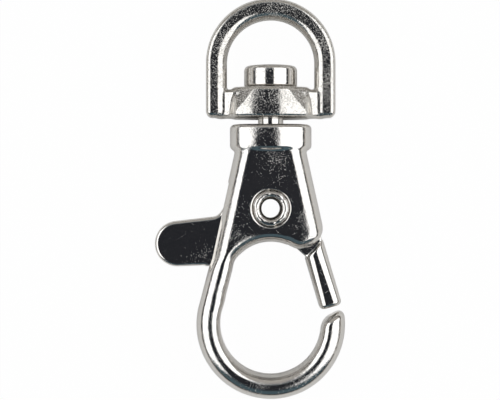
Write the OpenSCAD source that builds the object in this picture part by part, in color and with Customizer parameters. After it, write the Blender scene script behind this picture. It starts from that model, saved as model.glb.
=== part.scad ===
// Swivel snap hook, cast in zinc and plated, lying on its back with its front face up.
// +Y runs from the hook ring to the bail, +X is the side of the mouth, +Z is the front.
// Inside the modules, X = 0 is the swivel axis, Y = 0 the foot of the ring and Z = 0 mid-depth.

/* [Hook ring] */
// Outside radius of the hook ring
ring_r = 7.06; // [6.5:0.01:7.6]
// Width of the ring section, seen from the front
ring_w = 2.24; // [1.8:0.01:2.6]
// Depth of the ring section, front to back
ring_d = 3.8; // [3.2:0.05:4.2]
// Lean of the leg away from the length axis
leg_lean = 17; // [12:0.5:20]
// Gap between the end of the gate rod and the face of the hook tip
tip_gap = 0.66; // [0.4:0.02:1]
// Radius of the nose of the hook tip
nose_r = 0.8; // [0.4:0.05:0.9]

/* [Housing] */
// Height of the trigger pivot above the foot of the ring
pivot_y = 18.07; // [17.5:0.01:18.6]
// Height of the top of the housing, where the collar starts
house_top_y = 23.6; // [23.2:0.05:24.2]
// Width of the housing under the collar
house_w = 6.76; // [6.2:0.02:7.2]
// Lean of each flank of the housing
flank_lean = 12.5; // [10:0.5:14]
// Depth of the housing, front to back
house_d = 4.8; // [4:0.1:5.4]
// Rounding of the flanks
flank_r = 1.8; // [1.2:0.05:1.95]
// Radius of the arch under the housing
arch_r = 4.1; // [3.7:0.05:4.3]
// Height of the centre of the arch
arch_y = 10.82; // [10.4:0.01:11]
// Rounding of the edges of the arch
arch_edge = 1.2; // [0.6:0.05:1.25]
// Radius of the lobe at the mouth side
lobe_r = 2.12; // [1.8:0.02:2.3]
// Height of the centre of the lobe
lobe_y = 16.35; // [16.1:0.01:16.8]

/* [Collar] */
// Width of the collar
collar_w = 7.76; // [7:0.02:8.4]
// Depth of the collar
collar_d = 5.5; // [5:0.05:6.2]
// Height of the collar
collar_h = 2.43; // [1.8:0.01:3]
// Radius of the collar's front and back faces
collar_face_r = 7.4; // [5:0.1:12]
// Rounding of the collar's edges
collar_edge = 0.45; // [0.2:0.05:0.7]

/* [Bail] */
// Outside radius of the bow
bow_r = 6.15; // [5.7:0.01:6.8]
// Width of the bow section, seen from the front
bow_w = 1.98; // [1.6:0.01:2.3]
// Depth of the bow section
bow_d = 2.5; // [2.2:0.05:3]
// Rounding of the bow's edges
bow_edge = 0.55; // [0.3:0.05:0.8]
// Gap between the collar and the bail
bail_gap = 0.63; // [0.4:0.01:1]
// Height of the crossbar
bar_h = 2.69; // [2.3:0.01:2.9]
// Depth of the crossbar at its middle
bar_d = 4.6; // [4.2:0.05:5.2]
// Width of the boss
boss_w = 7.5; // [6.8:0.02:8]
// Height of the boss
boss_h = 2.92; // [2.7:0.01:3.2]
// Depth of the boss
boss_d = 5.9; // [5.4:0.05:6.4]
// Radius of the front and back faces of the boss and crossbar
boss_face_r = 8.6; // [7:0.1:12]
// Slant of the boss's cheeks
cheek_a = 39; // [34:1:46]
// Rounding of the edges of the boss and crossbar
boss_edge = 0.42; // [0.2:0.02:0.7]
// Height of the straight legs from the foot of the crossbar to the bow
bail_leg = 5.21; // [4.7:0.01:6]
// Rounding of the lower corners of the legs
leg_corner = 0.6; // [0.3:0.05:0.9]

/* [Swivel pin] */
// Radius of the pin's head
head_r = 2.52; // [2.1:0.01:2.9]
// Height of the pin's head
head_h = 2; // [1.6:0.05:2.4]
// Rounding of the head's edge
head_edge = 0.35; // [0.15:0.05:0.6]
// Radius of the pin's shank
shank_r = 1.2; // [1.05:0.01:1.4]
// Radius of the pin's tail below the shank
tail_r = 0.85; // [0.6:0.01:1]
// Radial clearance of the shank in the boss
swivel_gap = 0.08; // [0.05:0.01:0.1]

/* [Trigger] */
// Width of the slot in the housing
slot_w = 2.2; // [1.9:0.05:2.4]
// Clearance of the trigger on each side of the slot
side_gap = 0.1; // [0.06:0.01:0.2]
// Radius of the hub
hub_r = 3; // [2.8:0.05:3.1]
// Clearance of the hub in its pocket
hub_gap = 0.4; // [0.3:0.02:0.45]
// Clearance of the shut trigger over the slot's floor
stop_gap = 0.06; // [0.04:0.01:0.12]
// Opening angle of the trigger
open_angle = 28; // [15:1:29]
// Radius of the thumb tab's end
tab_r = 2.16; // [1.9:0.02:2.3]
// Reach of the centre of the tab's end from the pivot
tab_x = 8.84; // [8.2:0.02:9.6]
// Drop of the centre of the tab's end below the pivot
tab_drop = 3.34; // [3.1:0.02:3.5]
// Chamfer round the trigger's plate
tab_chamfer = 0.24; // [0.1:0.02:0.3]
// Lean of the gate rod
rod_lean = 16.5; // [15:0.5:18]
// Width of the gate rod
rod_w = 2.14; // [1.9:0.02:2.3]
// Depth of the gate rod
rod_d = 2.9; // [2.4:0.05:3.2]
// Distance from the pivot to the rod's shoulder
shoulder_r = 5.74; // [5.65:0.01:5.9]
// Distance from the pivot to the end of the rod
rod_reach = 10.98; // [10.5:0.01:11.05]

/* [Pivot rivet] */
// Outside radius of the rivet's tube
rivet_r = 1.4; // [1.25:0.01:1.45]
// Radius of the hole through the rivet
rivet_bore_r = 0.89; // [0.6:0.01:1]
// Radius of the rolled lips
lip_r = 1.72; // [1.6:0.01:1.8]
// Height of the rolled lips above the faces
lip_h = 0.24; // [0.1:0.02:0.35]
// Radial clearance of the trigger on the rivet
pivot_gap = 0.06; // [0.03:0.01:0.1]
// Radius of the countersinks in the housing
sink_r = 1.86; // [1.84:0.01:2.1]
// Depth of the countersinks
sink_h = 0.7; // [0.65:0.01:0.85]

/* [Torsion spring] */
// Diameter of the spring's wire
wire_d = 0.34; // [0.26:0.02:0.36]
// Turns of the spring
turns = 3; // [2:1:3]
// Depth of the spring's pocket in the hub
pocket_h = 1.2; // [1.14:0.02:1.3]

/* [Hidden] */

fit_gap = 0.02;
over = 1;
far = 14;
ring_y = ring_r;
ring_mid = ring_r - ring_w / 2;
tip_reach = rod_reach + tip_gap;
collar_top_y = house_top_y + collar_h;
bar_y = collar_top_y + bail_gap;
boss_top_y = bar_y + boss_h;
bow_y = bar_y + bail_leg;
bow_mid = bow_r - bow_w / 2;
// The cheeks break off the bowed faces at this share of the boss's half width
cheek_from_x = 0.66 * boss_w / 2;
cheek_off = cheek_from_x * sin(cheek_a)
    + (sqrt(boss_face_r * boss_face_r - cheek_from_x * cheek_from_x) - boss_face_r + boss_d / 2)
        * cos(cheek_a);
// The round ends of an oval block stand back from its faces by this much
end_sink = 0.01;
plate_t = slot_w - 2 * side_gap;
pocket_r = hub_r + hub_gap;
coil_r = rivet_r + 0.1 + wire_d / 2;
coil_room_r = coil_r + wire_d / 2 + 0.12;
roof_y = pivot_y + pocket_r + 0.03;
head_y = boss_top_y + 0.05;
tail_top_y = house_top_y - 0.4;
button_r = slot_w / 2 - 0.06;
button_h = 0.24;

full_len = bow_y + bow_r;
tab_left = tab_x + tab_r;
half_depth = max(boss_d, house_d + 2 * lip_h, collar_d) / 2;
to_frame = [(tab_left - ring_r) / 2, -full_len / 2, half_depth];

nickel = [0.72, 0.72, 0.71];
steel = [0.8, 0.8, 0.78];

// Half the width of the housing at height y
function flank_x(y) = house_w / 2 + (house_top_y - y) * tan(flank_lean);

function unit(v) = v / norm(v);
function polar(c, r, a) = c + r * [cos(a), sin(a)];
function arc(c, r, a0, a1, n) = [for (k = [0:n]) polar(c, r, a0 + (a1 - a0) * k / n)];

// Stadium section with half-width a and half-depth b, counter-clockwise, n points
function stadium(a, b, n) =
    let (h = n / 2)
    [for (side = [0, 1]) for (k = [0:h - 1])
        let (t = 180 * side + 180 * k / (h - 1))
        [a * cos(t), (1 - 2 * side) * (b - a) + a * sin(t)]];

// Solid through a list of rings with equal counts, each counter-clockwise seen from the last one
module skin(rings) {
    n = len(rings[0]);
    m = len(rings);
    pts = [for (r = rings) each r];
    sides = [for (i = [0:m - 2]) for (j = [0:n - 1])
        let (a = i * n + j, b = i * n + (j + 1) % n)
        each [[a, a + n, b + n], [a, b + n, b]]];
    first = [for (j = [0:n - 1]) j];
    last = [for (j = [n - 1:-1:0]) (m - 1) * n + j];
    polyhedron(pts, concat([first], sides, [last]), convexity = 4);
}

// Disc with rounded rims, standing on Z = 0
module puck(r, h, e) {
    rotate_extrude($fn = 96) {
        translate([0, e]) square([r, h - 2 * e]);
        square([r - e, h]);
        for (y = [e, h - e]) {
            intersection() {
                translate([r - e, y]) circle(r = e, $fn = 32);
                translate([0, y - e]) square([r, 2 * e]);
            }
        }
    }
}

module puck_y(r, h, e) {
    rotate([-90, 0, 0]) puck(r, h, e);
}

// Block between a bowed front and a bowed back face, standing on Y = 0
module bowed_block(d, h, face_r, e) {
    intersection() {
        translate([0, 0, d / 2 - face_r]) puck_y(face_r, h, e);
        translate([0, 0, face_r - d / 2]) puck_y(face_r, h, e);
    }
}

// Slab between two flat faces with rounded rims, standing on Y = 0; a turns it about Y
module flat_slab(half, h, e, a) {
    rotate([0, a, 0]) translate([0, 0, -far / 2]) linear_extrude(far) {
        translate([-half, e]) square([2 * half, h - 2 * e]);
        translate([e - half, 0]) square([2 * (half - e), h]);
        for (s = [-1, 1], y = [e, h - e]) {
            translate([s * (half - e), y]) circle(r = e, $fn = 32);
        }
    }
}

// Oval block: its bowed faces run into round ends
module oval_block(w, d, h, face_r, e) {
    face_off = face_r - d / 2;
    end_r = (face_r * face_r - w * w / 4 - face_off * face_off) / (2 * face_r - w) - end_sink;
    end_x = w / 2 - end_r;
    touch_x = face_r * end_x / (face_r - end_r);
    intersection() {
        bowed_block(d, h, face_r, e);
        translate([-touch_x, -over, -far / 2]) cube([2 * touch_x, h + 2 * over, far]);
    }
    for (s = [-1, 1]) {
        translate([s * end_x, 0, 0]) puck_y(end_r, h, e);
    }
}

module stadium2d(w, d) {
    square([w, d - w], center = true);
    for (s = [-1, 1]) {
        translate([0, s * (d - w) / 2]) circle(r = w / 2, $fn = 48);
    }
}

module rounded2d(w, d, r) {
    square([w - 2 * r, d], center = true);
    square([w, d - 2 * r], center = true);
    for (x = [-1, 1], y = [-1, 1]) {
        translate([x * (w / 2 - r), y * (d / 2 - r)]) circle(r = r, $fn = 32);
    }
}

// Half of the housing's slab: its round flank stands at the left
module flank_slab() {
    core = house_d - 2 * flank_r;
    translate([-house_w / 2, house_top_y, 0]) rotate([0, 0, -flank_lean]) rotate([90, 0, 0])
        translate([0, 0, -3]) linear_extrude(18) {
            translate([0, -core / 2]) square([far, core]);
            translate([flank_r, -house_d / 2]) square([far - flank_r, house_d]);
            for (s = [-1, 1]) {
                translate([flank_r, s * core / 2]) circle(r = flank_r, $fn = 64);
            }
        }
}

// Cutter with a straight wall of radius r that flares out at the front and the back face
module flared_cutter(r, e) {
    z0 = house_d / 2 - e;
    rotate_extrude($fn = 96) {
        translate([0, -house_d / 2 - over]) square([r, house_d + 2 * over]);
        for (s = [-1, 1]) {
            difference() {
                translate([0, s > 0 ? z0 : -house_d / 2 - over]) square([r + e + over, e + over]);
                translate([r + e, s * z0]) circle(r = e, $fn = 48);
                translate([r + e, s > 0 ? z0 - over : -house_d / 2 - 2 * over])
                    square([2 * over, e + 3 * over]);
            }
        }
    }
}

lobe_x = flank_x(lobe_y) - lobe_r / cos(flank_lean);
lobe_edge = 1.2;
lobe_from_x = 1.6;

module housing() {
    difference() {
        intersection() {
            flank_slab();
            mirror([1, 0, 0]) flank_slab();
            translate([-far, leg_top_y - 0.4, -far / 2])
                cube([2 * far, house_top_y + 0.5 - leg_top_y + 0.4, far]);
        }
        translate([0, arch_y, 0]) flared_cutter(arch_r, arch_edge);
        difference() {
            translate([lobe_from_x, leg_top_y - over, -house_d])
                cube([far, lobe_y + 0.3 - leg_top_y + over, 2 * house_d]);
            translate([lobe_x, lobe_y, -house_d / 2]) puck(lobe_r, house_d, lobe_edge);
            translate([-lobe_x - 1, lobe_y, -far]) cube([2 * lobe_x, 5, 2 * far]);
        }
    }
}

// The leg runs from the left wall of the housing down into the ring
leg_top_y = 13;
leg_foot_y = ring_y + 0.22 * ring_r;

function ring_x(r, y) = sqrt(r * r - (y - ring_y) * (y - ring_y));

module leg() {
    touch_y = ring_y + ring_r * sin(leg_lean);
    touch_out = ring_r * cos(leg_lean);
    top_out = flank_x(leg_top_y);
    top_in = sqrt(arch_r * arch_r - pow(leg_top_y - arch_y, 2)) - 0.03;
    // The inner side starts where it touches the ring's hole
    inner_lean = 14.5;
    inner_r = ring_r - ring_w;
    inner_y = ring_y + inner_r * sin(inner_lean);
    function inner_x(y) = mix(inner_r * cos(inner_lean), top_in, (y - inner_y) / (leg_top_y - inner_y));
    steps = 6;
    // The foot lies this far inside the ring's surface
    sunk = 0.05;
    function mix(a, b, t) = a + (b - a) * t;
    function rung(y, out, in, deep) =
        [for (p = stadium((out - in) / 2, deep / 2, 40)) [-(out + in) / 2 + p[0], y, -p[1]]];
    skin(concat(
        [rung(leg_foot_y, ring_x(ring_r, leg_foot_y) - sunk,
            ring_x(ring_r - ring_w, leg_foot_y) + sunk, ring_d - 2 * sunk)],
        [for (k = [0:steps])
            let (t = k / steps, s = k == 0 ? sunk : 0)
            rung(mix(touch_y, leg_top_y, t), mix(touch_out, top_out, t) - s,
                inner_x(mix(touch_y, leg_top_y, t)) + s, mix(ring_d, house_d - 0.06, t) - 2 * s)],
        [rung(leg_top_y + 0.8, flank_x(leg_top_y + 0.8) - 0.04, flank_x(leg_top_y + 0.8) - 1.9,
            house_d - 0.06)]
    ));
}

// Centre of the nose circle: inside the ring's outline and outside the tip's face
nose_from_ring = ring_r - nose_r;
nose_from_pivot = tip_reach + nose_r;
pivot_over_ring = pivot_y - ring_y;
nose_up = (pivot_over_ring * pivot_over_ring + nose_from_ring * nose_from_ring
    - nose_from_pivot * nose_from_pivot) / (2 * pivot_over_ring);
nose_c = [sqrt(nose_from_ring * nose_from_ring - nose_up * nose_up), ring_y + nose_up];

// Everything over the face and the nose of the hook tip, seen from the front
function over_tip() =
    let (
        face_dir = unit(nose_c - [0, pivot_y]),
        face_a = atan2(face_dir[1], face_dir[0]),
        nose_a = atan2(nose_up, nose_c[0])
    )
    concat(
        arc([0, pivot_y], tip_reach, face_a - 18, face_a, 8),
        arc(nose_c, nose_r, face_a + 180, nose_a, 10),
        [[ring_r + over, nose_c[1]], [ring_r + over, arch_y + over], [ring_r / 2, arch_y + over]]
    );

module hook_ring() {
    past_tip = 16;
    difference() {
        translate([0, ring_y, 0]) rotate([0, 0, 180 - leg_lean])
            rotate_extrude(angle = 180 + leg_lean + past_tip, $fn = 128)
                translate([ring_mid, 0]) stadium2d(ring_w, ring_d);
        translate([0, 0, -far / 2]) linear_extrude(far) polygon(over_tip());
    }
}

// Slot for the trigger, open at the left flank and under the arch
slot_top = 2.4;
web_side = [4.81, -2.75];
web_root_a = -10;

module slot() {
    floor_y = leg_top_y - 0.2;
    side_dir = unit(web_side - polar([0, 0], hub_r, web_root_a));
    side_off = 0.16 * [-side_dir[1], side_dir[0]];
    side_a = polar([0, 0], hub_r, web_root_a) + side_off;
    foot_y = leg_top_y - over - pivot_y;
    side_b = side_a + (foot_y - side_a[1]) / side_dir[1] * side_dir;
    translate([0, 0, -slot_w / 2]) linear_extrude(slot_w) {
        translate([0, pivot_y]) {
            circle(r = pocket_r, $fn = 96);
            polygon([[-far, floor_y - pivot_y], [-arch_r + 1, floor_y - pivot_y],
                [-arch_r + 1, foot_y], side_b, side_a, polar([0, 0], hub_r, 45),
                [-0.9 * slot_top, slot_top], [-far, slot_top]]);
        }
        translate([-button_r - 0.1, pivot_y]) square([2 * button_r + 0.2, roof_y - pivot_y]);
    }
}

module hook_body() color(nickel) {
    difference() {
        union() {
            hook_ring();
            leg();
            housing();
            translate([0, house_top_y, 0])
                oval_block(collar_w, collar_d, collar_h, collar_face_r, collar_edge);
        }
        slot();
        translate([0, pivot_y, -far / 2]) cylinder(r = rivet_r + fit_gap, h = far, $fn = 64);
        for (s = [0, 1]) {
            translate([0, pivot_y, 0]) rotate([180 * s, 0, 0]) translate([0, 0, house_d / 2 - sink_h])
                cylinder(r1 = rivet_r + fit_gap, r2 = sink_r, h = sink_h + 0.01, $fn = 64);
        }
        translate([0, tail_top_y, 0]) rotate([-90, 0, 0])
            cylinder(r = shank_r + fit_gap, h = collar_top_y + over - tail_top_y, $fn = 64);
        translate([0, roof_y - 0.5, 0]) rotate([-90, 0, 0])
            cylinder(r = tail_r + fit_gap, h = tail_top_y - roof_y + 0.6, $fn = 48);
    }
}

module bail() color(nickel) {
    difference() {
        union() {
            translate([0, bow_y, 0]) rotate_extrude(angle = 180, $fn = 128)
                translate([bow_mid, 0]) rounded2d(bow_w, bow_d, bow_edge);
            for (s = [-1, 1]) {
                translate([s * bow_mid, bow_y, 0]) rotate([90, 0, 0])
                    linear_extrude(bail_leg - 0.05) rounded2d(bow_w, bow_d, bow_edge);
            }
            intersection() {
                translate([0, bar_y, 0]) bowed_block(bar_d, bar_h, boss_face_r, boss_edge);
                translate([-bow_mid, 0, -far / 2]) cube([2 * bow_mid, 3 * far, far]);
            }
            translate([0, bar_y, 0]) intersection() {
                bowed_block(boss_d, boss_h, boss_face_r, boss_edge);
                flat_slab(boss_w / 2, boss_h, boss_edge, 0);
                flat_slab(cheek_off, boss_h, boss_edge, cheek_a - 90);
                flat_slab(cheek_off, boss_h, boss_edge, 90 - cheek_a);
            }
        }
        translate([0, bar_y - over, 0]) rotate([-90, 0, 0])
            cylinder(r = shank_r + swivel_gap, h = boss_h + 2 * over, $fn = 64);
        for (s = [0, 1]) {
            mirror([s, 0, 0]) translate([bow_r - leg_corner, bar_y + 0.05 + leg_corner, 0])
                corner_cutter(leg_corner);
        }
    }
}

// What lies outside a corner rounded to radius r, below and to the right of its centre
module corner_cutter(r) {
    translate([0, 0, -far / 2]) linear_extrude(far) {
        difference() {
            translate([0, -r - over]) square(r + over);
            circle(r = r, $fn = 64);
        }
    }
}

module swivel_pin() color(steel) {
    translate([0, head_y, 0]) puck_y(head_r, head_h, head_edge);
    translate([0, tail_top_y + fit_gap, 0]) rotate([-90, 0, 0])
        cylinder(r = shank_r, h = head_y + 0.5 - tail_top_y, $fn = 64);
    translate([0, roof_y - button_h, 0]) rotate([-90, 0, 0]) {
        cylinder(r = tail_r, h = tail_top_y + 0.5 - roof_y + button_h, $fn = 48);
        cylinder(r = button_r, h = button_h - fit_gap, $fn = 48);
    }
}

// The trigger is drawn round its pivot, shut
tab_c = [-tab_x, -tab_drop];
tab_slope = 6.5;
root_fillet = 0.6;
rest_y = leg_top_y - 0.2 + stop_gap - pivot_y;
under_arch_r = arch_r + 0.2;

rod_mid = [4.97, -6.75];
rod_down = [sin(rod_lean), -cos(rod_lean)];
rod_across = [cos(rod_lean), sin(rod_lean)];
rod_top_s = -3.7;

// Point in the gate rod, s along its axis from its middle, and w across it in half-widths
function in_rod(s, w) = rod_mid + s * rod_down + w * rod_w / 2 * rod_across;

// Top edge of the thumb tab
function tab_top(x) = tab_c[1] + tab_r / cos(tab_slope) + (x - tab_c[0]) * tan(tab_slope);

module chamfered_disc(r) {
    cylinder(r = r, h = plate_t - 2 * tab_chamfer, center = true, $fn = 64);
    cylinder(r = r - tab_chamfer, h = plate_t, center = true, $fn = 64);
}

module thumb_tab() {
    corner_r = 0.4;
    top_x = -flank_x(pivot_y) - 0.1;
    low_x = -flank_x(leg_top_y) - 0.1;
    hull() {
        translate(tab_c) chamfered_disc(tab_r);
        translate([top_x, tab_top(top_x) - corner_r / cos(tab_slope)]) chamfered_disc(corner_r);
        translate([low_x, rest_y + corner_r]) chamfered_disc(corner_r);
    }
}

// Arm, hub and web, which run in the slot
module plate2d() {
    root_x = -flank_x(pivot_y) - 0.6;
    root = [root_x, tab_top(root_x)];
    fillet_c = polar(root, root_fillet, 90 + tab_slope);
    circle(r = hub_r, $fn = 128);
    difference() {
        polygon(concat(
            [[-flank_x(leg_top_y) - 0.2, rest_y], root + [0, -0.3]],
            arc(fillet_c, root_fillet, tab_slope - 90, -flank_lean, 8),
            [[-flank_x(pivot_y) - 0.05, -0.05], polar([0, 0], hub_r, 160), [0, 0],
                polar([0, 0], hub_r, -70), [0, rest_y]]
        ));
        translate([0, arch_y - pivot_y]) circle(r = under_arch_r, $fn = 96);
    }
    polygon([[0, 0], polar([0, 0], hub_r, web_root_a), web_side, in_rod(rod_top_s + 0.5, 0.7),
        in_rod(rod_top_s + 1.9, 0.6), in_rod(rod_top_s + 1.5, -0.7), polar([0, 0], hub_r, -66)]);
}

// Gate rod: stadium sections along a leaning axis, closed by a round end
module gate_rod() {
    top_s = rod_top_s - 0.7;
    end_s = sqrt(rod_reach * rod_reach - pow(rod_mid * rod_across, 2)) - rod_mid * rod_down;
    a = rod_w / 2;
    b = rod_d / 2;
    ends = 5;
    function slice(s, wide, deep) =
        [for (p = stadium(wide, deep, 32))
            let (q = rod_mid + s * rod_down + p[0] * rod_across)
            [q[0], q[1], p[1]]];
    skin(concat(
        [slice(top_s, a + 0.04, b), slice(end_s - a, a - 0.05, b)],
        [for (k = [1:ends])
            let (t = 80 * k / ends)
            slice(end_s - a + a * sin(t), (a - 0.05) * cos(t), b - a + a * cos(t))]
    ));
}

module trigger() color(nickel) {
    floor_z = plate_t / 2 - pocket_h;
    translate([0, pivot_y, 0]) {
        difference() {
            union() {
                thumb_tab();
                linear_extrude(plate_t, center = true) plate2d();
                difference() {
                    gate_rod();
                    translate([0, 0, -far / 2]) cylinder(r = shoulder_r, h = far, $fn = 128);
                }
            }
            translate([0, 0, -far / 2]) cylinder(r = rivet_r + pivot_gap, h = far, $fn = 64);
            translate([0, 0, floor_z]) cylinder(r = coil_room_r, h = far, $fn = 64);
            // Window for the fixed leg of the spring, over the whole travel
            translate([0, 0, plate_t / 2 - 0.55]) linear_extrude(over)
                polygon(concat([[0, 0]], arc([0, 0], hub_r + 1, 78, 98 + open_angle, 6)));
            // Notch for the moving leg of the spring
            translate([-hub_r + 0.6, -wire_d / 2 - 0.05 - coil_r, floor_z])
                cube([hub_r - 0.6, wire_d + 0.1, far]);
        }
    }
}

module pivot_rivet() color(steel) {
    face_z = house_d / 2;
    roll = (lip_r - rivet_bore_r) / 2 - 0.06;
    roll_z = face_z + lip_h - roll;
    translate([0, pivot_y, 0]) rotate_extrude($fn = 96) {
        translate([rivet_bore_r, -roll_z]) square([rivet_r - rivet_bore_r, 2 * roll_z]);
        for (s = [-1, 1]) {
            translate([lip_r - roll, s * roll_z]) circle(r = roll, $fn = 32);
        }
    }
}

// Wire coil round the rivet, with one leg in the trigger and one up to the roof of the slot
module torsion_spring() color(steel) {
    sides = 8;
    per_turn = 20;
    pitch = wire_d + 0.03;
    low_z = plate_t / 2 - pocket_h + wire_d / 2 + 0.02;
    start_a = -90;
    sweep = 360 * (turns - 1) + 180;
    steps = per_turn * sweep / 360;
    foot = [-hub_r + 0.75, -coil_r, low_z];
    top_z = low_z + pitch * sweep / 360;
    head = [0, pocket_r - 0.12, top_z];
    // The coil runs clockwise from the trigger's leg up to the fixed leg
    coil = [for (k = [0:steps])
        let (a = start_a + sweep * k / steps)
        [coil_r * cos(a), coil_r * sin(a), low_z + pitch * (sweep * k / steps) / 360]];
    route = concat([foot], coil, [[0, coil_r + wire_d, top_z] + [0.0, 0.35, 0.0], head]);
    last = len(route) - 1;
    rings = [for (k = [0:last])
        let (
            d = unit(route[min(k + 1, last)] - route[max(k - 1, 0)]),
            u = unit(cross([0, 0, 1], d)),
            v = cross(d, u)
        )
        [for (j = [0:sides - 1])
            let (t = 360 * j / sides)
            route[k] + wire_d / 2 * (cos(t) * u + sin(t) * v)]];
    translate([0, pivot_y, 0]) skin(rings);
}

translate(to_frame) {
    hook_body();
    bail();
    swivel_pin();
    trigger();
    pivot_rivet();
    torsion_spring();
}
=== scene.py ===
"""Swivel snap hook: nickel-plated die casting, seen from straight above on a white table.

Sizes are in millimetres in the part's own layout: X = 0 is the swivel axis, Y = 0 the foot of
the hook ring, Z = 0 mid-depth. LAYOUT_TO_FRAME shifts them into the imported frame.
"""
import math

import bmesh
import bpy
import numpy as np
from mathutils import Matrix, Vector


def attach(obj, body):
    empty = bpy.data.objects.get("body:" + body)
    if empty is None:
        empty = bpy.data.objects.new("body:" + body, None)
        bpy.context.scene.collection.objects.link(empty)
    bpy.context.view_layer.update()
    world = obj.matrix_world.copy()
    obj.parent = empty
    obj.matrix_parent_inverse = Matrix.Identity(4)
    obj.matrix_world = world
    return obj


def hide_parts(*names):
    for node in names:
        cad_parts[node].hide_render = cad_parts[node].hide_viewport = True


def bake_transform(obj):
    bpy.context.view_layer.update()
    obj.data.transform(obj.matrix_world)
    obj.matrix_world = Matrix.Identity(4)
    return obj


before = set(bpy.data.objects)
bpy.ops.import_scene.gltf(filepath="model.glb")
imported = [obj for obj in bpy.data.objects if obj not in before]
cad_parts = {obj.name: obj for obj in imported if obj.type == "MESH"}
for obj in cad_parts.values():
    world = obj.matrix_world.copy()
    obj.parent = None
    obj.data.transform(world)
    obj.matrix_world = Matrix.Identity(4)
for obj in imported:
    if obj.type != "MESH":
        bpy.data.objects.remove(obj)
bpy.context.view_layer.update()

MM = 0.001

# Sizes, as in the part's source, except those that are left to this script.
# The hook's ring, housing, arch, lobe, leg and collar
RING_R, RING_W, RING_D, LEG_LEAN = 7.06, 2.24, 3.8, math.radians(17)
RING_Y, RING_MID = RING_R, RING_R - RING_W / 2
PIVOT_Y, HOUSE_TOP_Y, HOUSE_W, HOUSE_D = 18.07, 23.6, 6.76, 4.8
FLANK_LEAN, FLANK_R = math.radians(12.5), 1.8
ARCH_R, ARCH_Y, ARCH_EDGE = 4.1, 10.82, 1.25
RING_CROWN, LEG_CROWN = 0.28, 0.17
LOBE_R, LOBE_Y, LOBE_EDGE, LOBE_FROM_X = 2.12, 16.35, 1.2, 1.6
LEG_TOP_Y, INNER_LEAN = 13.0, math.radians(14.5)
THIN_FROM_Y, THIN_LENGTH, SEAM_R = 7.5, 7.0, 0.12
RING_TO_LEG, LEG_TO_HOUSE = (8.3, 9.9), (12.1, 13.9)
COLLAR_W, COLLAR_D, COLLAR_H = 7.76, 5.5, 2.43
COLLAR_FACE_R, COLLAR_END_R, COLLAR_EDGE, COLLAR_FILLET = 7.7, 2.07, 0.45, 0.34
# The bail's bow, crossbar and boss
BOW_R, BOW_W, BOW_D, BOW_EDGE, INNER_EDGE, BAIL_GAP = 6.15, 1.98, 2.5, 0.5, 0.95, 0.63
BAR_H, BAR_D, BOSS_W, BOSS_H, BOSS_D = 2.69, 4.6, 7.5, 2.92, 5.9
BOSS_FACE_R, BOSS_EDGE, BAIL_LEG, LEG_CORNER = 8.6, 0.42, 5.21, 0.6
BAR_FILLET, BOSS_FILLET, CHEEK_EDGE = 0.3, 0.22, 0.55
CHEEK_A, CHEEK_LEAN, CHEEK_FROM_X = math.radians(36), math.radians(16), 0.66 * BOSS_W / 2
# The pin, from its head to its tail
HEAD_R, HEAD_H, HEAD_EDGE = 2.52, 2.0, 0.35
SHANK_R, SHANK_SINK, TAIL_R, BUTTON_Y = 1.2, 0.4, 0.85, 21.5
# The slot and the trigger's plate, tab and rod
SLOT_W, SLOT_FLOOR_Y, PLATE_T, HUB_R, POCKET_R = 2.2, LEG_TOP_Y - 0.2, 2.0, 3.0, 3.4
TAB_R, TAB_X, TAB_DROP, TAB_SLOPE = 2.16, 8.84, 3.34, math.radians(6.5)
TAB_EDGE, TAB_FILLET, PLATE_EDGE = 0.35, 0.6, 0.16
ROD_LEAN, ROD_W, ROD_D, SHOULDER_R = math.radians(16.5), 2.14, 2.9, 5.74
ROD_REACH, TIP_GAP, NOSE_R = 10.98, 0.66, 0.8
ROD_FLAT, ROD_NOSE_R, ROD_FILLET = 0.15, 0.42, 0.2
# The rivet, its countersinks and the spring
RIVET_R, RIVET_BORE_R, LIP_R, LIP_H = 1.4, 0.89, 1.72, 0.24
SINK_R, SINK_H = 1.86, 0.7
WIRE_D, TURNS, POCKET_H = 0.34, 3, 1.2
# Clearances
FIT_GAP, PIVOT_GAP, SWIVEL_GAP, STOP_GAP = 0.02, 0.06, 0.08, 0.06
# Places that follow from them; a V is a height over the pivot
BAR_Y = HOUSE_TOP_Y + COLLAR_H + BAIL_GAP
BOW_Y, BOW_MID = BAR_Y + BAIL_LEG, BOW_R - BOW_W / 2
FULL_LEN = BOW_Y + BOW_R
LAYOUT_TO_FRAME = ((TAB_X + TAB_R - RING_R) / 2, -FULL_LEN / 2, BOSS_D / 2)
REST_V = SLOT_FLOOR_Y + STOP_GAP - PIVOT_Y
WEB_ROOT_A = math.radians(-10)
WEB_SIDE = (4.81, -2.75)
ROD_MID = (4.97, -6.75)
COIL_R = RIVET_R + 0.1 + WIRE_D / 2
# Cells of the casting's meshes, steps round the turned pieces
FINE_CELL, HOOK_CELL, LATHE_STEPS = 0.1, 0.105, 144
# Finish: sizes of the noises in the plating
SWELL_MM, SPOT_MM, PATCH_MM, HAIR_MM = 1.2, 0.11, 3.0, 0.13


# Signed distances of the castings: negative inside, in mm
def rounded_edge(a, b, r):
    """Where both a and b are inside, with their common edge rounded to radius r."""
    return np.minimum(np.maximum(a, b), -r) + np.hypot(np.maximum(a + r, 0), np.maximum(b + r, 0))


def cast_fillet(a, b, r):
    """Where a or b is inside, with the corner between them filled to radius r."""
    return np.maximum(np.minimum(a, b), r) - np.hypot(np.maximum(r - a, 0), np.maximum(r - b, 0))


def bar_section(u, v, half_w, half_d, crown):
    """Section of a cast bar with round front and back: half_w wide, half_d deep, each way. Its
    highest line lies crown nearer to the side of -u, which has the smaller rounding."""
    side_w = half_w + np.where(u > -crown, crown, -crown)
    return np.hypot(u + crown, np.maximum(np.abs(v) - (half_d - side_w), 0)) - side_w


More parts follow.
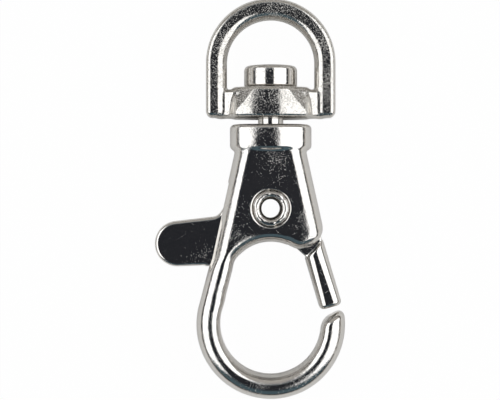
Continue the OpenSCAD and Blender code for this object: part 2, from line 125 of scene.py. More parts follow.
def outline(corners, x, y):
    """Distance from the closed outline through the corners, negative inside."""
    best, sign = np.full(np.broadcast(x, y).shape, 1e9, np.float32), 1.0
    for (ax, ay), (bx, by) in zip(corners, corners[1:] + corners[:1]):
        ex, ey = bx - ax, by - ay
        px, py = x - ax, y - ay
        t = np.clip((px * ex + py * ey) / (ex * ex + ey * ey), 0, 1)
        best = np.minimum(best, np.hypot(px - ex * t, py - ey * t))
        c1, c2, c3 = y >= ay, y < by, ex * py > ey * px
        sign = sign * np.where((c1 & c2 & c3) | (~c1 & ~c2 & ~c3), -1.0, 1.0)
    return best * sign


def ease(value, start, end):
    """Soft step from 0 at start to 1 at end."""
    t = np.clip((value - start) / (end - start), 0, 1)
    return t * t * (3 - 2 * t)


def flank_x(y):
    """How far the housing's flank is from the middle at the height y."""
    return HOUSE_W / 2 + (HOUSE_TOP_Y - y) * math.tan(FLANK_LEAN)


def polar(r, angle):
    """Point at the radius r and the angle in radians."""
    return (r * math.cos(angle), r * math.sin(angle))


def half_depth(y):
    """The casting thins out evenly from the housing down the leg to the ring."""
    t = np.clip((y - THIN_FROM_Y) / THIN_LENGTH, 0, 1)
    even = t - 0.06 * np.sin(2 * math.pi * t)
    return (RING_D + (HOUSE_D - RING_D) * even) / 2


def inner_x(y):
    """How far the leg's inner side is from the middle, tangent to the ring's hole."""
    touch_in = (RING_R - RING_W) * math.cos(INNER_LEAN)
    touch_in_y = RING_Y + (RING_R - RING_W) * math.sin(INNER_LEAN)
    top_in = math.sqrt(ARCH_R ** 2 - (LEG_TOP_Y - ARCH_Y) ** 2) - 0.03
    return touch_in + (top_in - touch_in) * (y - touch_in_y) / (LEG_TOP_Y - touch_in_y)


def leg_section(x, y, z):
    """The straight leg between the ring and the left wall of the housing."""
    touch_y = RING_Y + RING_R * math.sin(LEG_LEAN)
    touch_out = RING_R * math.cos(LEG_LEAN)
    top_out = flank_x(LEG_TOP_Y)
    t = (y - touch_y) / (LEG_TOP_Y - touch_y)
    out = touch_out + (top_out - touch_out) * t
    inside = inner_x(y)
    # The section is level, so the leg's lean makes it a little wider than the leg is thick
    lean = math.cos(0.25)
    return bar_section(-x - (out + inside) / 2, z, (out - inside) / 2, half_depth(y), LEG_CROWN) * lean


def lobe_outline(x, y):
    """The housing's mouth side: a round lobe whose outer side runs up along the flank."""
    lobe_x = flank_x(LOBE_Y) - LOBE_R / math.cos(FLANK_LEAN)
    up_x, up_y = -math.sin(FLANK_LEAN), math.cos(FLANK_LEAN)
    px, py = x - lobe_x, y - LOBE_Y
    s = np.maximum(px * up_x + py * up_y, 0)
    lobe = np.hypot(px - s * up_x, py - s * up_y) - LOBE_R
    # Left of the lobe only the corner where the arch meets it counts
    from_x = LOBE_FROM_X - lobe_x
    from_y = -math.sqrt(LOBE_R ** 2 - from_x ** 2)
    left = np.where(s > 0, px * up_y - py * up_x, from_x * py - from_y * px) < 0
    return np.where(left, -np.hypot(px - from_x, py - from_y), lobe)


def collar_plan(x, z):
    """Oval plan of the collar: bowed front and back, broadly rounded ends."""
    deep = np.abs(z)
    off = COLLAR_FACE_R - COLLAR_D / 2
    end_x = COLLAR_W / 2 - COLLAR_END_R
    end_z = math.sqrt((COLLAR_FACE_R - COLLAR_END_R) ** 2 - end_x ** 2) - off
    faces = np.hypot(x, deep + off) - COLLAR_FACE_R
    ends = np.hypot(np.abs(x) - end_x, np.maximum(deep - end_z, 0)) - COLLAR_END_R
    return np.where(np.abs(x) * (end_z + off) > end_x * (deep + off), ends, faces)


def boss_plan(x, y, z):
    """The boss's bowed front and back, which break off to slanted cheeks at the upper corners."""
    faces = np.hypot(x, np.abs(z) + BOSS_FACE_R - BOSS_D / 2) - BOSS_FACE_R
    from_z = math.sqrt(BOSS_FACE_R ** 2 - CHEEK_FROM_X ** 2) - BOSS_FACE_R + BOSS_D / 2
    out, rise = np.abs(x) - CHEEK_FROM_X, np.abs(z) - from_z
    cheeks = out * math.sin(CHEEK_A) + rise * math.cos(CHEEK_A)
    cheeks = cheeks * math.cos(CHEEK_LEAN) + (y - BAR_Y - BOSS_H / 2) * math.sin(CHEEK_LEAN)
    return rounded_edge(np.maximum(faces, cheeks), np.abs(x) - BOSS_W / 2, CHEEK_EDGE)


def slot_outline(x, v):
    """The trigger's slot, seen from the front; v is the height over the pivot."""
    pocket = np.hypot(x, v) - POCKET_R
    left = np.maximum(np.maximum(x, v - 2.4), SLOT_FLOOR_Y - PIVOT_Y - v)
    root = polar(HUB_R, WEB_ROOT_A)
    way = Vector((WEB_SIDE[0] - root[0], WEB_SIDE[1] - root[1])).normalized()
    side = (x - root[0]) * -way.y + (v - root[1]) * way.x - 0.16
    low = np.maximum(-ARCH_R + 1 - x, side)
    low = np.maximum(low, np.maximum(v - 2.1, LEG_TOP_Y - 1 - PIVOT_Y - v))
    roof = np.maximum(np.abs(x) - (SLOT_W / 2 + 0.04), np.maximum(-v, v - POCKET_R - 0.03))
    return np.minimum(np.minimum(pocket, left), np.minimum(low, roof))


def hook_body_skin(x, y, z):
    """The ring, the leg, the slotted housing and the collar, with the ways for rivet and pin."""
    deep = np.abs(z)
    ring_half = np.where(x < 0, half_depth(y), RING_D / 2)
    from_ring = np.hypot(x, y - RING_Y)
    # At the ring's sides its highest line lies further in than at its bottom
    crown = RING_CROWN * (0.3 + 0.7 * (x / np.maximum(from_ring, 1)) ** 2)
    ring = bar_section(from_ring - RING_MID, z, RING_W / 2, ring_half, crown)
    tip_face = ROD_REACH + TIP_GAP - np.hypot(x, y - PIVOT_Y)
    tip = rounded_edge(ring, tip_face, NOSE_R)

    front = deep - np.where(x < -1, half_depth(y), HOUSE_D / 2)
    flank = (np.abs(x) - flank_x(y)) * math.cos(FLANK_LEAN)
    arch = ARCH_R - np.hypot(x, y - ARCH_Y)
    walls = rounded_edge(front, flank, FLANK_R)
    under = rounded_edge(front, arch, ARCH_EDGE)
    lobe = rounded_edge(front, lobe_outline(x, y), LOBE_EDGE)
    house = rounded_edge(rounded_edge(walls, under, SEAM_R), lobe, SEAM_R)
    house = np.maximum(house, y - HOUSE_TOP_Y - SHANK_SINK)

    left = ring + (leg_section(x, y, z) - ring) * ease(y, *RING_TO_LEG)
    left = left + (house - left) * ease(y, *LEG_TO_HOUSE)
    right = np.minimum(np.where(y > 11.2, 5.0, tip), np.maximum(house, LEG_TOP_Y - 0.8 - y))
    body = np.where(x < 0, left, right)

    lift = np.abs(y - HOUSE_TOP_Y - COLLAR_H / 2) - COLLAR_H / 2
    collar = rounded_edge(collar_plan(x, z), lift, COLLAR_EDGE)
    body = cast_fillet(body, collar, COLLAR_FILLET)

    slot = np.maximum(slot_outline(x, y - PIVOT_Y), deep - SLOT_W / 2)
    body = rounded_edge(body, -slot, 0.1)
    rivet_way = np.hypot(x, y - PIVOT_Y) - RIVET_R - FIT_GAP
    run, rise = SINK_R - RIVET_R - FIT_GAP, SINK_H
    cone = (rivet_way * rise - (deep - HOUSE_D / 2 + SINK_H) * run) / math.hypot(run, rise)
    body = rounded_edge(body, -np.minimum(rivet_way, cone), 0.05)
    pin_way = np.hypot(x, z)
    bore = np.maximum(pin_way - SHANK_R - FIT_GAP, HOUSE_TOP_Y - SHANK_SINK - y)
    tail = np.maximum(pin_way - TAIL_R - FIT_GAP, PIVOT_Y + 3 - y)
    return rounded_edge(body, -np.minimum(bore, tail), 0.08)


def bail_skin(x, y, z):
    """The bow, the crossbar and the boss round the pin, with the pin's bore."""
    over_bow = y - BOW_Y
    from_mid = np.where(over_bow > 0, np.hypot(x, over_bow), np.abs(x)) - BOW_MID
    bow_edge = np.where(from_mid > 0, BOW_EDGE, INNER_EDGE)
    bow = rounded_edge(np.abs(z) - BOW_D / 2, np.abs(from_mid) - BOW_W / 2, bow_edge)
    bow = rounded_edge(bow, BAR_Y + 0.05 - y, LEG_CORNER)
    bar_face = np.hypot(x, np.abs(z) + BOSS_FACE_R - BAR_D / 2) - BOSS_FACE_R
    bar_plan = np.maximum(bar_face, np.abs(x) - BOW_MID)
    bar = rounded_edge(bar_plan, np.abs(y - BAR_Y - BAR_H / 2) - BAR_H / 2, BOSS_EDGE)
    boss = rounded_edge(boss_plan(x, y, z), np.abs(y - BAR_Y - BOSS_H / 2) - BOSS_H / 2, BOSS_EDGE)
    body = cast_fillet(cast_fillet(bow, bar, BAR_FILLET), boss, BOSS_FILLET)
    bore = np.maximum(np.hypot(x, z) - SHANK_R - SWIVEL_GAP, y - BAR_Y - BOSS_H - 1)
    return rounded_edge(body, -bore, 0.1)


def in_rod(s, w):
    """Point of the gate rod, s along it from its middle, w across it in half-widths."""
    return (ROD_MID[0] + s * math.sin(ROD_LEAN) + w * ROD_W / 2 * math.cos(ROD_LEAN),
            ROD_MID[1] - s * math.cos(ROD_LEAN) + w * ROD_W / 2 * math.sin(ROD_LEAN))


def tab_outline(x, v):
    """Thumb tab: round end, sloping top edge, nearly level lower edge."""
    px, pv = x + TAB_X, v + TAB_DROP
    foot_x = -flank_x(LEG_TOP_Y) - 0.1
    fall = math.asin((REST_V + TAB_DROP + TAB_R) / math.hypot(foot_x + TAB_X, REST_V + TAB_DROP))
    edges = []
    for slope, sign in ((TAB_SLOPE, 1), (fall * 0.5, -1)):
        along = px * math.cos(slope) + pv * math.sin(slope)
        off = sign * (pv * math.cos(slope) - px * math.sin(slope)) - TAB_R
        edges.append(np.where(along < 0, np.hypot(px, pv) - TAB_R, off))
    body = np.where(pv > 0, edges[0], edges[1])
    return rounded_edge(body, x + flank_x(LEG_TOP_Y) - 1.0, 0.3)


def trigger_skin(x, y, z):
    """The tab, its arm, the hub, the web and the gate rod, with the spring's room cut out."""
    v = y - PIVOT_Y
    hub = np.hypot(x, v) - HUB_R
    arm_left = (-x - flank_x(y) - 0.05) * math.cos(FLANK_LEAN)
    reach = polar(HUB_R, math.radians(160))
    rise = Vector((reach[0] + flank_x(PIVOT_Y) + 0.05, reach[1] + 0.05)).normalized()
    arm_top = (x - reach[0]) * -rise.y + (v - reach[1]) * rise.x
    arm = rounded_edge(np.maximum(arm_left, x), arm_top, 0.25)
    plate = cast_fillet(np.maximum(arm, REST_V - v), tab_outline(x, v), TAB_FILLET)
    arch = ARCH_R + 0.2 - np.hypot(x, y - ARCH_Y)
    plate = np.maximum(plate, np.maximum(arch, REST_V - 0.4 - v))
    low = math.radians(-66)
    web = outline([(0.0, 0.0), polar(HUB_R, WEB_ROOT_A), WEB_SIDE, in_rod(-3.2, 0.7),
                   in_rod(-1.8, 0.6), in_rod(-2.2, -0.7), polar(HUB_R, low)], x, v)
    flat = np.minimum(np.minimum(plate, hub), web)
    body = rounded_edge(flat, np.abs(z) - PLATE_T / 2, np.where(x < -4, TAB_EDGE, PLATE_EDGE))

    s = (x - ROD_MID[0]) * math.sin(ROD_LEAN) - (v - ROD_MID[1]) * math.cos(ROD_LEAN)
    w = (x - ROD_MID[0]) * math.cos(ROD_LEAN) + (v - ROD_MID[1]) * math.sin(ROD_LEAN)
    across = ROD_MID[0] * math.cos(ROD_LEAN) + ROD_MID[1] * math.sin(ROD_LEAN)
    along = ROD_MID[0] * math.sin(ROD_LEAN) - ROD_MID[1] * math.cos(ROD_LEAN)
    end_s = math.sqrt(ROD_REACH ** 2 - across ** 2) - along
    # The rod's face is flatter towards its end
    flat_w = np.clip(ROD_FLAT + 0.05 * s, 0.05, 0.28)
    past_w, past_z = np.abs(w) - flat_w, np.abs(z) - ROD_D / 2 + ROD_W / 2 - flat_w
    side = np.hypot(np.maximum(past_w, 0), np.maximum(past_z, 0))
    rod = rounded_edge(side - ROD_W / 2 + flat_w, s - end_s, ROD_NOSE_R)
    rod = rounded_edge(rod, SHOULDER_R - np.hypot(x, v), 0.16)
    rod = np.maximum(rod, v + 1)
    body = cast_fillet(body, rod, ROD_FILLET)

    bore = np.hypot(x, v) - RIVET_R - PIVOT_GAP
    floor_z = PLATE_T / 2 - POCKET_H
    room = np.maximum(np.hypot(x, v) - (COIL_R + WIRE_D / 2 + 0.12), floor_z - z)
    notch = np.maximum(np.abs(x + 1.2) - 1.2, np.abs(v + COIL_R) - WIRE_D / 2 - 0.05)
    notch = np.maximum(notch, floor_z - z)
    angle = np.degrees(np.arctan2(v, x))
    window = np.maximum((np.abs(angle - 102) - 24) * 0.05, PLATE_T / 2 - 0.55 - z)
    return np.maximum(body, -np.minimum(np.minimum(bore, room), np.minimum(notch, window)))


def to_frame(places):
    """Places in the layout, in mm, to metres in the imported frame."""
    return (np.asarray(places) + LAYOUT_TO_FRAME) * MM


def cast_piece(name, distance, low, high, step):
    """Mesh of the surface where distance is 0: one point per cell that it crosses, put on it."""
    axes = [np.arange(a - 2.5 * step, b + 3 * step, step, dtype=np.float32)
            for a, b in zip(low, high)]
    field = distance(*np.meshgrid(*axes, indexing="ij", sparse=True)).astype(np.float32)
    solid = field < 0
    count = np.zeros([n - 1 for n in field.shape], np.uint8)
    for i in (0, 1):
        for j in (0, 1):
            for k in (0, 1):
                count += solid[i:i + count.shape[0], j:j + count.shape[1], k:k + count.shape[2]]
    crossed = (count > 0) & (count < 8)
    number = np.full(count.shape, -1, np.int64)
    total = int(crossed.sum())
    number[crossed] = np.arange(total)
    places, hits, faces = np.zeros((total, 3)), np.zeros(total), []
    for axis in range(3):
        first = np.take(field, range(field.shape[axis] - 1), axis)
        second = np.take(field, range(1, field.shape[axis]), axis)
        at = list(np.nonzero((first < 0) != (second < 0)))
        a, b = first[tuple(at)], second[tuple(at)]
        place = [axes[c][at[c]] + (step * a / (a - b) if c == axis else 0) for c in range(3)]
        ring = []
        for de, df in ((0, 0), (-1, 0), (-1, -1), (0, -1)):
            cell = list(at)
            cell[(axis + 1) % 3] = cell[(axis + 1) % 3] + de
            cell[(axis + 2) % 3] = cell[(axis + 2) % 3] + df
            ids = number[tuple(cell)]
            ring.append(ids)
            hits += np.bincount(ids, minlength=total)
            for c in range(3):
                places[:, c] += np.bincount(ids, weights=place[c], minlength=total)
        quads = np.stack(ring, 1)
        quads[a >= 0] = quads[a >= 0][:, ::-1]
        faces.append(quads)
    places /= hits[:, None]
    faces = np.concatenate(faces)
    # Three short moves along the slope put the points on the surface
    probe = step * 0.2
    for _ in range(3):
        here = distance(*places.T)
        slope = np.stack([(distance(*(places + d).T) - distance(*(places - d).T)) / (2 * probe)
                          for d in np.eye(3) * probe], 1)
        length = np.maximum((slope ** 2).sum(1), 0.25)
        places -= np.clip(here / length, -0.4 * step, 0.4 * step)[:, None] * slope
    return mesh_piece(name, to_frame(places), faces)


def mesh_piece(name, places, faces):
    """Smooth-shaded object from points and faces."""
    mesh = bpy.data.meshes.new(name)
    mesh.from_pydata(np.asarray(places).tolist(), [], np.asarray(faces).tolist())
    mesh.shade_smooth()
    piece = bpy.data.objects.new(name, mesh)
    bpy.context.collection.objects.link(piece)
    return piece


def turned_piece(name, profile, along, centre, wobble=None):
    """Lathe-turned piece: profile is (radius, height) in mm, closed on itself or on the axis."""
    places, faces = [], []
    for i in range(LATHE_STEPS):
        a = 2 * math.pi * i / LATHE_STEPS
        for r, h in profile:
            if wobble is not None:
                r, h = wobble(r, h, a)
            p = (r * math.cos(a), r * math.sin(a), h)
            if along == "y":
                p = (p[0], h, -p[1])
            places.append([p[c] + centre[c] for c in range(3)])
    n = len(profile)
    for i in range(LATHE_STEPS):
        for j in range(n - 1):
            a, b = i * n + j, ((i + 1) % LATHE_STEPS) * n + j
            faces.append([a, b, b + 1, a + 1])
    piece = mesh_piece(name, to_frame(places), faces)
    edit = bmesh.new()
    edit.from_mesh(piece.data)
    bmesh.ops.remove_doubles(edit, verts=edit.verts, dist=1e-7)
    bmesh.ops.recalc_face_normals(edit, faces=edit.faces)
    edit.to_mesh(piece.data)
    edit.free()
    piece.data.shade_smooth()
    return piece


def bend(cx, cy, r, a0, a1, n):
    """Points on an arc round (cx, cy), from a0 to a1 degrees, for a profile."""
    return [(cx + r * math.cos(math.radians(a0 + (a1 - a0) * k / n)),
             cy + r * math.sin(math.radians(a0 + (a1 - a0) * k / n))) for k in range(n + 1)]


def straight(a, b, n):
    """Points between a and b that cut the line in n equal parts, for a profile."""
    return [(a[0] + (b[0] - a[0]) * k / n, a[1] + (b[1] - a[1]) * k / n) for k in range(1, n)]


# The six pieces
hook_body = cast_piece("hook_casting", hook_body_skin, (-7.2, -0.1, -2.8), (7.2, 26.2, 2.8), HOOK_CELL)
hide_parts("hook_body")
bail = cast_piece("bail_casting", bail_skin, (-6.3, 26.8, -3.1), (6.3, 38.2, 3.1), FINE_CELL)
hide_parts("bail")
trigger = cast_piece("trigger_casting", trigger_skin, (-11.1, 6.9, -1.6), (8.2, 21.3, 1.6), FINE_CELL)
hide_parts("trigger")

# The pin: from its head's top, down the shank and the thin tail, to the button spread at its end
head_y = BAR_Y + BOSS_H + 0.05
head_top = head_y + HEAD_H
tail_top = HOUSE_TOP_Y - SHANK_SINK + FIT_GAP
rim, foot_r, neck_r = HEAD_EDGE + 0.1, 0.22, 0.12
pin_profile = ([(0.0, head_top), (1.0, head_top), (1.7, head_top - 0.005)]
               + bend(HEAD_R - rim, head_top - rim, rim, 88, 0, 10)
               + straight((HEAD_R, head_top - rim), (HEAD_R, head_y + 0.25), 4)
               + bend(HEAD_R - foot_r, head_y + foot_r, foot_r, 0, -88, 6)
               + [(SHANK_R + 0.2, head_y)]
               + bend(SHANK_R + neck_r, head_y - neck_r, neck_r, 90, 180, 4)
               + straight((SHANK_R, head_y - neck_r), (SHANK_R, tail_top + 0.15), 6)
               + bend(SHANK_R - neck_r, tail_top + neck_r, neck_r, 0, -88, 4)
               + [(TAIL_R, tail_top), (TAIL_R, BUTTON_Y), (1.0, BUTTON_Y - 0.02),
                  (1.03, BUTTON_Y - 0.1), (1.0, BUTTON_Y - 0.22), (0.0, BUTTON_Y - 0.23)])
pin = turned_piece("pin_turned", pin_profile, "y", (0, 0, 0))
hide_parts("swivel_pin")

# The rivet: a tube whose ends are rolled outwards to lips
roll = (LIP_R - RIVET_BORE_R) / 2 - 0.06
roll_z = HOUSE_D / 2 + LIP_H - roll
rivet_half = ([(RIVET_R, 0.0)] + straight((RIVET_R, 0), (RIVET_R, roll_z - 0.34), 5)
              + bend(LIP_R - roll, roll_z, roll, -78, 180, 22)
              + straight((RIVET_BORE_R, roll_z), (RIVET_BORE_R, 0), 6))
rivet_profile = rivet_half + [(r, -h) for r, h in reversed(rivet_half)]


def rolled_lip(r, h, a):
    """The rolled edge spreads unevenly, as spread tube does."""
    lift = max(0.0, abs(h) - roll_z + 0.2)
    uneven = 0.05 * math.sin(3 * a + 1.1) + 0.035 * math.sin(7 * a + 0.4) + 0.02 * math.sin(13 * a + 2)
    if r > LIP_R - roll:
        r -= max(0.0, -uneven) * min(1.0, lift * 4)
    h -= math.copysign(0.35 * abs(uneven) * min(1.0, lift * 4), h)
    return r, h


rivet = turned_piece("rivet_rolled", rivet_profile, "z", (0, PIVOT_Y, 0), wobble=rolled_lip)
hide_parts("pivot_rivet")


def spring_wire():
    """Torsion spring: a leg in the trigger, the coil round the rivet, a leg up to the roof."""
    pitch = WIRE_D + 0.03
    low_z = PLATE_T / 2 - POCKET_H + WIRE_D / 2 + 0.02
    sweep = 360 * (TURNS - 1) + 180
    steps = 24 * sweep // 360
    coil = []
    for k in range(steps + 1):
        a = math.radians(-90 + sweep * k / steps)
        coil.append((COIL_R * math.cos(a), COIL_R * math.sin(a), low_z + pitch * sweep / 360 * k / steps))
    top_z = coil[-1][2]
    route = ([(-HUB_R + 0.75, -COIL_R, low_z)] + coil
             + [(0, COIL_R + WIRE_D + 0.35, top_z), (0, POCKET_R - 0.12, top_z)])
    curve = bpy.data.curves.new("spring_wire", "CURVE")
    curve.dimensions = "3D"
    curve.bevel_depth = WIRE_D / 2 * MM * 0.98
    curve.bevel_resolution = 4
    curve.use_fill_caps = True
    line = curve.splines.new("POLY")
    line.points.add(len(route) - 1)
    for point, place in zip(line.points, to_frame(np.array(route) + (0, PIVOT_Y, 0))):
        point.co = (*place, 1)
    line.use_smooth = True
    draft = bpy.data.objects.new("spring_route", curve)
    wire = bpy.data.meshes.new_from_object(draft)
    bpy.data.objects.remove(draft)
    wire.shade_smooth()
    piece = bpy.data.objects.new("spring_wire", wire)
    bpy.context.collection.objects.link(piece)
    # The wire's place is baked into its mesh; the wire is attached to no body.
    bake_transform(piece)
    return piece


spring = spring_wire()
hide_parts("torsion_spring")

for piece, body, slot in ((hook_body, "hook", "plated_casting"), (bail, "bail", "plated_casting"),
                          (trigger, "trigger", "plated_casting"), (pin, "hook", "plated_steel"),
                          (rivet, "hook", "plated_steel")):
    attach(piece, body)


def shade(hex_value):
    """Linear colour of an sRGB hex value."""
    parts = [int(hex_value[i:i + 2], 16) / 255 for i in (1, 3, 5)]
    linear = [c / 12.92 if c <= 0.04045 else ((c + 0.055) / 1.055) ** 2.4 for c in parts]
    return (*linear, 1.0)


def put(tree, kind, settings=None, links=None):
    """Adds one node with its inputs' values and other settings, and links its inputs from
    (node, output) pairs."""
    node = tree.nodes.new(kind)
    for key, value in (settings or {}).items():
        if isinstance(key, int) or key in node.inputs.keys():
            node.inputs[key].default_value = value
        else:
            setattr(node, key, value)
    for key, (source, output) in (links or {}).items():
        tree.links.new(source.outputs[output], node.inputs[key])
    return node


def noise(tree, place, size_mm, detail, roughness=0.5):
    """Noise with spots about size_mm wide."""
    return put(tree, "ShaderNodeTexNoise",
               {"Scale": 1 / (size_mm * MM), "Detail": detail, "Roughness": roughness},
               {"Vector": place})


def dent(tree, normal, height, depth_mm):
    """Bump that goes depth_mm inwards where height is 1."""
    return put(tree, "ShaderNodeBump", {"Strength": 1.0, "Distance": depth_mm * MM, "invert": True},
               {"Height": height, "Normal": (normal, "Normal")})


def plated_metal(name, colour, sharp, haze, grain_mm, grain_depth, pit_share, pit_depth,
                 scratch_depth):
    """Bright nickel over a metal core: mirror shine with a thin haze, broken by cast grain, pits
    and hair scratches. sharp and haze are the roughness of the clear and of the hazy spots, the
    depths are in mm, and pits are rarer the larger pit_share is."""
    material = bpy.data.materials.new(name)
    material.use_nodes = True
    tree = material.node_tree
    tree.nodes.clear()
    where = put(tree, "ShaderNodeTexCoord")
    place = (where, "Object")
    # Plating swells and dips softly over the casting, with the cast grain under it
    swell = noise(tree, place, SWELL_MM, 2.0)
    grain = noise(tree, place, grain_mm, 3.0, 0.65)
    spots = noise(tree, place, SPOT_MM, 1.0)
    rough = put(tree, "ShaderNodeMapRange",
                {"From Min": 0.48, "From Max": 0.66, "To Min": sharp, "To Max": haze},
                {"Value": (spots, "Fac")})
    # Pits gather in patches, where the grain is deeper too
    pits = noise(tree, place, SPOT_MM, 1.0)
    patch = noise(tree, place, PATCH_MM, 2.0)
    crowd = put(tree, "ShaderNodeMath", {"operation": "MULTIPLY_ADD", 1: 0.6},
                {0: (patch, "Fac"), 2: (pits, "Fac")})
    pit = put(tree, "ShaderNodeMapRange", {"From Min": pit_share, "From Max": pit_share + 0.05},
              {"Value": (crowd, "Value")})
    rougher = put(tree, "ShaderNodeMapRange",
                  {"From Min": 0.42, "From Max": 0.60, "To Min": 0.3, "To Max": 1.0},
                  {"Value": (patch, "Fac")})
    # Hair scratches, under 0.1 mm wide and a few mm long, in two directions
    scratches = []
    for turn, stretch in ((0.5, 14.0), (-0.85, 10.0)):
        turned = put(tree, "ShaderNodeMapping",
                     {"vector_type": "TEXTURE", "Rotation": (0.0, 0.0, turn),
                      "Scale": (stretch, 1.0, 3.0)}, {"Vector": place})
        hair = noise(tree, (turned, "Vector"), HAIR_MM, 1.0)
        scratches.append(put(tree, "ShaderNodeMapRange", {"From Min": 0.70, "From Max": 0.74},
                             {"Value": (hair, "Fac")}))
    scratch = put(tree, "ShaderNodeMath", {"operation": "MAXIMUM"},
                  {0: (scratches[0], "Result"), 1: (scratches[1], "Result")})
    relief = put(tree, "ShaderNodeBump", {"Strength": 1.0, "Distance": 0.012 * MM},
                 {"Height": (swell, "Fac")})
    relief = put(tree, "ShaderNodeBump", {"Distance": grain_depth * MM},
                 {"Strength": (rougher, "Result"), "Height": (grain, "Fac"),
                  "Normal": (relief, "Normal")})
    relief = dent(tree, relief, (pit, "Result"), pit_depth)
    relief = dent(tree, relief, (scratch, "Value"), scratch_depth)
    metal = put(tree, "ShaderNodeBsdfPrincipled", {"Base Color": shade(colour), "Metallic": 1.0},
                {"Roughness": (rough, "Result"), "Normal": (relief, "Normal")})
    put(tree, "ShaderNodeOutputMaterial", None, {"Surface": (metal, "BSDF")})
    return material


NICKEL, GREYER_NICKEL = "#DEDBD7", "#D8D5D0"
# Clear dark and bright mirror patches, sprinkled with glints where the casting under it is rough
nickel_casting = plated_metal("nickel_on_zinc_casting", NICKEL, sharp=0.05, haze=0.18, grain_mm=0.18,
                              grain_depth=0.018, pit_share=1.03, pit_depth=0.007, scratch_depth=0.002)
# The cleanest mirror, nearly black on the tab, with few glints
nickel_trigger = plated_metal("nickel_on_smooth_casting", NICKEL, sharp=0.05, haze=0.17, grain_mm=0.26,
                              grain_depth=0.0030, pit_share=1.10, pit_depth=0.006, scratch_depth=0.002)
# The grainiest: its reflections break up into coarse sparkling speckle
nickel_bail = plated_metal("nickel_on_rough_casting", GREYER_NICKEL, sharp=0.08, haze=0.34,
                           grain_mm=0.26, grain_depth=0.024, pit_share=0.93, pit_depth=0.012,
                           scratch_depth=0.003)
# Straight bright and dark streaks with soft edges, as on turned stock
nickel_steel = plated_metal("nickel_on_turned_steel", NICKEL, sharp=0.06, haze=0.20, grain_mm=0.2,
                            grain_depth=0.0090, pit_share=0.98, pit_depth=0.006, scratch_depth=0.002)
# Crinkled glints round the hole, as on tube that was spread cold
nickel_lip = plated_metal("nickel_on_spread_tube", NICKEL, sharp=0.06, haze=0.20, grain_mm=0.16,
                          grain_depth=0.032, pit_share=0.98, pit_depth=0.010, scratch_depth=0.002)
for piece, finish in ((hook_body, nickel_casting), (bail, nickel_bail), (trigger, nickel_trigger),
                      (pin, nickel_steel), (rivet, nickel_lip), (spring, nickel_steel)):
    piece.data.materials.append(finish)
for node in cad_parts.values():
    node.data.materials.clear()
    node.data.materials.append(nickel_steel)


def table():
    """White paper on the table: it takes shadows and reflections, and the camera sees it white."""
    half = 0.6
    mesh = bpy.data.meshes.new("table")
    mesh.from_pydata([(-half, -half, 0), (half, -half, 0), (half, half, 0), (-half, half, 0)], [],
                     [(0, 1, 2, 3)])
    top = bpy.data.objects.new("table", mesh)
    bpy.context.collection.objects.link(top)
    material = bpy.data.materials.new("white_paper_table")
    material.use_nodes = True
    tree = material.node_tree
    tree.nodes.clear()
    paper = put(tree, "ShaderNodeBsdfDiffuse", {"Color": shade("#F4F3F1")})
    white = put(tree, "ShaderNodeEmission", {"Color": (1, 1, 1, 1), "Strength": 1.0})
    ray = put(tree, "ShaderNodeLightPath")
    share = put(tree, "ShaderNodeMath", {"operation": "MULTIPLY", 1: 0.98},
                {0: (ray, "Is Camera Ray")})
    mix = put(tree, "ShaderNodeMixShader", None,
              {"Fac": (share, "Value"), 1: (paper, "BSDF"), 2: (white, "Emission")})
    put(tree, "ShaderNodeOutputMaterial", None, {"Surface": (mix, "Shader")})
    mesh.materials.append(material)


def softbox(name, near, far, width, glow):
    """A square-on softbox beside the object, between two angles from the vertical, in degrees."""
    distance, middle = 0.5, math.radians((near + far) / 2)
    lamp = bpy.data.lights.new(name, "AREA")
    lamp.shape = "RECTANGLE"
    lamp.size = 2 * distance * math.tan(math.radians(abs(far - near) / 2))
    lamp.size_y = width
    lamp.energy = glow * math.pi * lamp.size * lamp.size_y
    box = bpy.data.objects.new(name, lamp)
    bpy.context.collection.objects.link(box)
    box.location = (distance * math.sin(middle), 0, distance * math.cos(middle))
    box.rotation_euler = (0, middle, 0)


def ramp_of(tree, source, stops):
    """Colour ramp through (position, hex) stops."""
    node = put(tree, "ShaderNodeValToRGB", None, {"Fac": source})
    ramp = node.color_ramp
    while len(ramp.elements) < len(stops):
        ramp.elements.new(0.5)
    for element, (position, _) in zip(ramp.elements, stops):
        element.position = position
    for element, (_, colour) in zip(ramp.elements, stops):
        element.color = shade(colour)
    return node


def covered(tree, under, share, colour):
    """The room's colour with another laid over it where share is white."""
    return put(tree, "ShaderNodeMix", {"data_type": "RGBA", 7: shade(colour)},
               {0: (share, "Color"), 6: under})


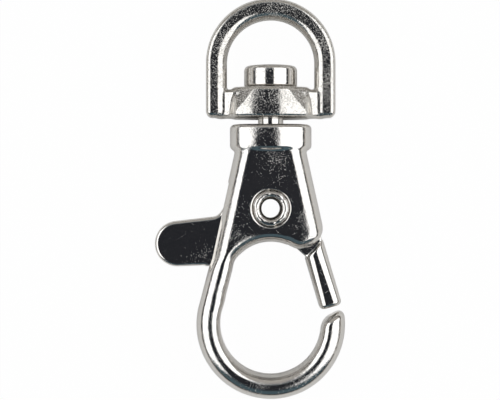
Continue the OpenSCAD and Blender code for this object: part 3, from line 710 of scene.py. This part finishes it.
def studio():
    """The room that the plating mirrors, with its two softboxes."""
    world = bpy.data.worlds.new("studio")
    world.use_nodes = True
    bpy.context.scene.world = world
    tree = world.node_tree
    tree.nodes.clear()
    way = put(tree, "ShaderNodeTexCoord")
    axes = put(tree, "ShaderNodeSeparateXYZ", None, {"Vector": (way, "Generated")})
    # From the ring's end (-Y) the room is a dark teal, from the bail's end a light grey
    along = put(tree, "ShaderNodeMapRange", {"From Min": -1.0, "From Max": 1.0},
                {"Value": (axes, "Y")})
    ends = ramp_of(tree, (along, "Result"), ((0.12, "#4C5F68"), (0.42, "#46484C"), (0.58, "#555A60"),
                                             (0.70, "#7E8489"), (0.80, "#ACA9A5"), (0.95, "#B8B4AE")))
    # Right over the object hangs the dark camera stand, leaning to the ring's end
    lean = math.radians(12)
    stand = put(tree, "ShaderNodeVectorMath",
                {"operation": "DOT_PRODUCT", 1: (0.0, -math.sin(lean), math.cos(lean))},
                {0: (way, "Generated")})
    hood = ramp_of(tree, (stand, "Value"), ((0.86, "#000000"), (0.92, "#FFFFFF")))
    room = covered(tree, (ends, "Color"), hood, "#282A2F")
    # The table's edge: a dark gap under the softboxes, then the pale far table
    edge = ramp_of(tree, (axes, "Z"), ((0.10, "#FFFFFF"), (0.15, "#000000")))
    gap = ramp_of(tree, (axes, "Z"), ((0.27, "#FFFFFF"), (0.31, "#000000")))
    room = covered(tree, (room, 2), gap, "#2C2E32")
    room = covered(tree, (room, 2), edge, "#C4C0BA")
    back = put(tree, "ShaderNodeBackground", {"Strength": 1.0}, {"Color": (room, 2)})
    put(tree, "ShaderNodeOutputWorld", None, {"Surface": (back, "Background")})
    width, glow = 0.62, 1.6
    softbox("softbox_right", 13, 71, width, glow)
    softbox("softbox_left", -24, -69, width, glow)


def camera():
    """Looks straight down at the hook, a hair from its foot's side."""
    tilt, distance, view_width = math.radians(0.3), 0.150, 0.0477
    aim_y, aim_z = -0.00014, 0.00295
    lens = bpy.data.cameras.new("camera")
    lens.sensor_width = 36
    lens.lens = lens.sensor_width * distance / view_width
    lens.clip_start = 0.005
    view = bpy.data.objects.new("camera", lens)
    bpy.context.collection.objects.link(view)
    view.location = (0, aim_y - distance * math.sin(tilt), aim_z + distance * math.cos(tilt))
    view.rotation_euler = (tilt, 0, 0)
    bpy.context.scene.camera = view


table()
studio()
camera()
bpy.context.scene.view_settings.view_transform = "Standard"

bpy.context.view_layer.update()
